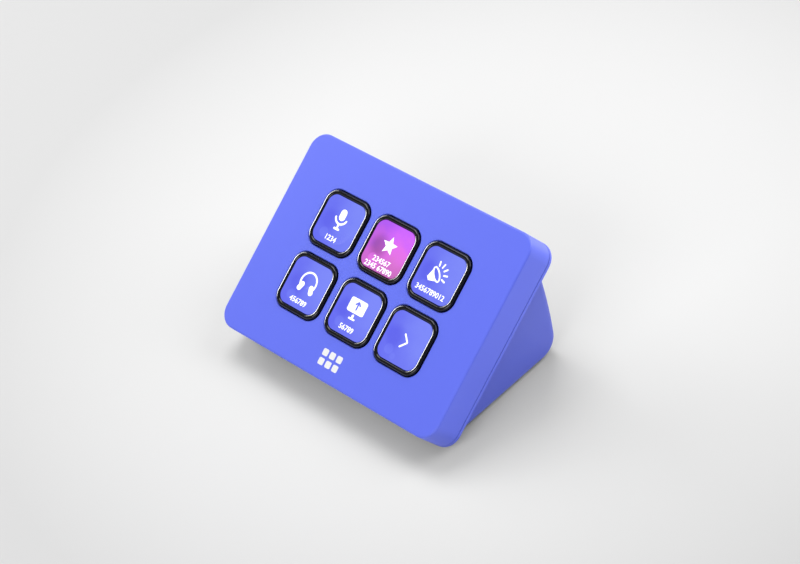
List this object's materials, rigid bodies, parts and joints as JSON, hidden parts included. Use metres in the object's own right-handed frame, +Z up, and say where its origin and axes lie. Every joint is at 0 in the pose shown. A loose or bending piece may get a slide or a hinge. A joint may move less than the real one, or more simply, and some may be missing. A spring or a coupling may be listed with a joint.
{
  "type": "picture keypad",
  "caption": "Desktop keypad: a sloping slab with square picture keys that press in, on a hollow wedge stand with a cable socket at the back.",
  "frame": {"origin": "on the table, below the middle of the object's box", "axes": "+Z up; the user sits at -Y, so the face looks towards -Y and +Z; +X to the user's right"},
  "size_m": [0.084, 0.056, 0.0438],
  "materials": {
    "case_plastic": "fine matt texture, periwinkle blue",
    "key_frame": "glossy black",
    "key_window": "clear polished acrylic",
    "silicone": "translucent grey",
    "circuit_board": "green solder mask",
    "display_glass": "polished",
    "light_guide": "white diffuser",
    "sheet_metal": "folded sheet",
    "inner_plastic": "plain",
    "chip_plastic": "plain",
    "connector_plastic": "plain",
    "flat_cable": "amber film",
    "socket_metal": "bright",
    "screw_steel": "zinc plated",
    "foot_rubber": "matt"
  },
  "bodies": {
    "housing": {"front_shell": "case_plastic", "rear_cover": "case_plastic", "stand": "case_plastic", "foot_pad": "foot_rubber", "spring_mat": "silicone", "switch_board": "circuit_board", "display_glass": "display_glass", "display_backlight": "light_guide", "display_can": "sheet_metal", "display_tray": "inner_plastic", "main_board": "circuit_board", "board_chips": "chip_plastic", "cable_connectors": "connector_plastic", "cable_socket": "socket_metal", "socket_tongue": "chip_plastic", "display_ribbon": "flat_cable", "keys_ribbon": "flat_cable", "case_screws": "screw_steel", "stand_screws": "screw_steel", "tray_screws": "screw_steel", "board_screws": "screw_steel", "key_1_spring": "silicone", "key_2_spring": "silicone", "key_3_spring": "silicone", "key_4_spring": "silicone", "key_5_spring": "silicone", "key_6_spring": "silicone"},
    "key_1": {"key_1_frame": "key_frame", "key_1_window": "key_window"},
    "key_2": {"key_2_frame": "key_frame", "key_2_window": "key_window"},
    "key_3": {"key_3_frame": "key_frame", "key_3_window": "key_window"},
    "key_4": {"key_4_frame": "key_frame", "key_4_window": "key_window"},
    "key_5": {"key_5_frame": "key_frame", "key_5_window": "key_window"},
    "key_6": {"key_6_frame": "key_frame", "key_6_window": "key_window"}
  },
  "joints": [
    {"name": "key_1_press", "type": "slide", "parent": "housing", "child": "key_1", "axis": [0, 0.5635, -0.8261], "range_m": [0, 0.0012], "stiffness_N_per_m": 400, "springref_m": -0.0005, "deforming": ["key_1_spring"]},
    {"name": "key_2_press", "type": "slide", "parent": "housing", "child": "key_2", "axis": [0, 0.5635, -0.8261], "range_m": [0, 0.0012], "stiffness_N_per_m": 400, "springref_m": -0.0005, "deforming": ["key_2_spring"]},
    {"name": "key_3_press", "type": "slide", "parent": "housing", "child": "key_3", "axis": [0, 0.5635, -0.8261], "range_m": [0, 0.0012], "stiffness_N_per_m": 400, "springref_m": -0.0005, "deforming": ["key_3_spring"]},
    {"name": "key_4_press", "type": "slide", "parent": "housing", "child": "key_4", "axis": [0, 0.5635, -0.8261], "range_m": [0, 0.0012], "stiffness_N_per_m": 400, "springref_m": -0.0005, "deforming": ["key_4_spring"]},
    {"name": "key_5_press", "type": "slide", "parent": "housing", "child": "key_5", "axis": [0, 0.5635, -0.8261], "range_m": [0, 0.0012], "stiffness_N_per_m": 400, "springref_m": -0.0005, "deforming": ["key_5_spring"]},
    {"name": "key_6_press", "type": "slide", "parent": "housing", "child": "key_6", "axis": [0, 0.5635, -0.8261], "range_m": [0, 0.0012], "stiffness_N_per_m": 400, "springref_m": -0.0005, "deforming": ["key_6_spring"]}
  ]
}
